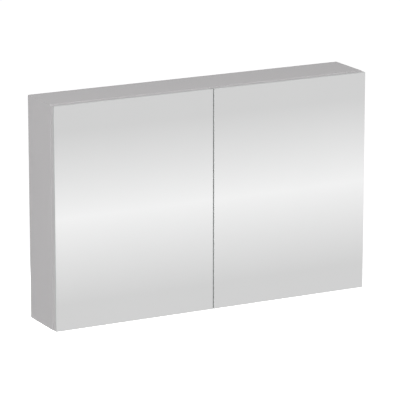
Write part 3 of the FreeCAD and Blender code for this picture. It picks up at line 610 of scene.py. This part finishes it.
def seen_as_background(tree):
    """1 where the camera looks, straight or by way of glass and metal, and 0 for light on the pieces."""
    path = add(tree, "ShaderNodeLightPath")
    bounced = math_node(tree, "MAXIMUM", path.outputs["Is Glossy Ray"], path.outputs["Is Transmission Ray"])
    return math_node(tree, "MAXIMUM", path.outputs["Is Camera Ray"], bounced)


def add_world():
    """Even white surround; its level as a light is set apart from what is seen of it."""
    world = bpy.data.worlds.new("studio")
    bpy.context.scene.world = world
    world.use_nodes = True
    tree = world.node_tree
    background = tree.nodes["Background"]
    background.inputs["Color"].default_value = (*WHITE, 1.0)
    feed(tree, background.inputs["Strength"], between(tree, seen_as_background(tree), SURROUND_LIGHT, 1.0))


def add_floor():
    """Plain white floor, clear from below; it glows a little as a background, so only shadows darken it."""
    bpy.ops.mesh.primitive_plane_add(size=FLOOR_SIZE, location=(0.0, 0.0, FLOOR_LEVEL))
    floor = bpy.context.object
    floor.name = "studio_floor"
    material, tree = new_material("studio_floor")
    shade(tree, Base_Color=FLOOR_COLOUR, Roughness=FLOOR_ROUGHNESS, Specular_IOR_Level=0.0,
          Emission_Color=WHITE,
          Emission_Strength=math_node(tree, "MULTIPLY", seen_as_background(tree), FLOOR_GLOW))
    one_sided = add(tree, "ShaderNodeMixShader")
    feed(tree, one_sided.inputs[0], add(tree, "ShaderNodeNewGeometry").outputs["Backfacing"])
    feed(tree, one_sided.inputs[1], tree.nodes["Principled BSDF"].outputs["BSDF"])
    feed(tree, one_sided.inputs[2], add(tree, "ShaderNodeBsdfTransparent").outputs["BSDF"])
    feed(tree, tree.nodes["Material Output"].inputs["Surface"], one_sided.outputs["Shader"])
    floor.data.materials.append(material)


def distance_out(tree):
    """Distance of the point from the middle of its own piece."""
    coordinates = add(tree, "ShaderNodeTexCoord")
    node = add(tree, "ShaderNodeVectorMath", operation="LENGTH")
    feed(tree, node.inputs[0], coordinates.outputs["Object"])
    return node.outputs["Value"]


def show_in_reflections(screen, name, shade_stops, low, high, measure):
    """Makes a glowing screen that only mirrors and metal see, shaded by what is measured on it."""
    screen.name = name
    material, tree = new_material(name)
    emission = add(tree, "ShaderNodeEmission")
    feed(tree, emission.inputs["Color"], ramp(tree, share(tree, measure(tree), low, high), shade_stops))
    tree.links.new(emission.outputs["Emission"], tree.nodes["Material Output"].inputs["Surface"])
    screen.data.materials.append(material)
    screen.visible_camera = False
    screen.visible_diffuse = False
    screen.visible_transmission = False
    screen.visible_shadow = False


def add_card():
    """Wide card in front of the doors: grey, with a soft white band where the photograph shows it.

    The stops count in the stretch of card that the doors show there, from 0 at its foot to 1 at its
    top; steeper views meet the second band above it or the third below."""
    reach = CARD_DISTANCE / (MIRROR_FACE - VIEW_PLACE[1])
    low, high = [height + (height - VIEW_PLACE[2]) * reach for height in (BOTTOM, TOP)]
    first, last = CARD_STOPS[0][0], CARD_STOPS[-1][0]
    middle = (CARD_TOP + FLOOR_LEVEL) / 2
    bpy.ops.mesh.primitive_plane_add(size=1.0, location=(0.0, MIRROR_FACE - CARD_DISTANCE, middle),
                                     rotation=(math.radians(90.0), 0.0, 0.0))
    card = bpy.context.object
    card.scale = (CARD_WIDTH, CARD_TOP - FLOOR_LEVEL, 1.0)
    bpy.ops.object.transform_apply(location=True, rotation=True, scale=True)
    stops = [((place - first) / (last - first), colour) for place, colour in CARD_STOPS]
    show_in_reflections(card, "studio_card", stops, low + first * (high - low), low + last * (high - low),
                        height_of)


def add_round_screen():
    """Round screen about the whole studio, grey at its foot and paler higher up, for the open doors."""
    bpy.ops.mesh.primitive_cylinder_add(vertices=SCREEN_SIDES, radius=SCREEN_RADIUS, depth=SCREEN_HEIGHT,
                                        end_fill_type="NOTHING")
    show_in_reflections(bpy.context.object, "studio_screen", SCREEN_STOPS, -SCREEN_HEIGHT / 2,
                        SCREEN_HEIGHT / 2, height_of)


def add_ground_screen():
    """Disc just above the floor with two soft white rings, which the open doors look down at."""
    bpy.ops.mesh.primitive_circle_add(vertices=SCREEN_SIDES, radius=SCREEN_RADIUS, fill_type="NGON",
                                      location=(0.0, 0.0, FLOOR_LEVEL + GROUND_LIFT))
    show_in_reflections(bpy.context.object, "studio_ground", GROUND_STOPS, 0.0, SCREEN_RADIUS, distance_out)


def add_lamp(name, place, size, power, mirrored):
    """Square soft lamp that looks at the cabinet; one that isn't mirrored never shows in the open doors."""
    data = bpy.data.lights.new(name, "AREA")
    data.size = size
    data.energy = power
    lamp = bpy.data.objects.new(name, data)
    lamp.location = place
    lamp.rotation_mode = "QUATERNION"
    lamp.rotation_quaternion = (sum(cad_box, Vector()) / 2 - lamp.location).to_track_quat("-Z", "Y")
    lamp.visible_glossy = mirrored
    bpy.context.scene.collection.objects.link(lamp)


def add_studio():
    bpy.context.scene.view_settings.view_transform = "Standard"
    add_camera()
    add_world()
    add_floor()
    add_card()
    add_round_screen()
    add_ground_screen()
    for lamp in LAMPS:
        add_lamp(*lamp)


bpy.ops.object.select_all(action="DESELECT")
all_finishes = make_finishes()
finish_nodes(all_finishes)
make_plate_screws(all_finishes)
make_cup_screws(all_finishes)
make_buttons(all_finishes)
add_studio()
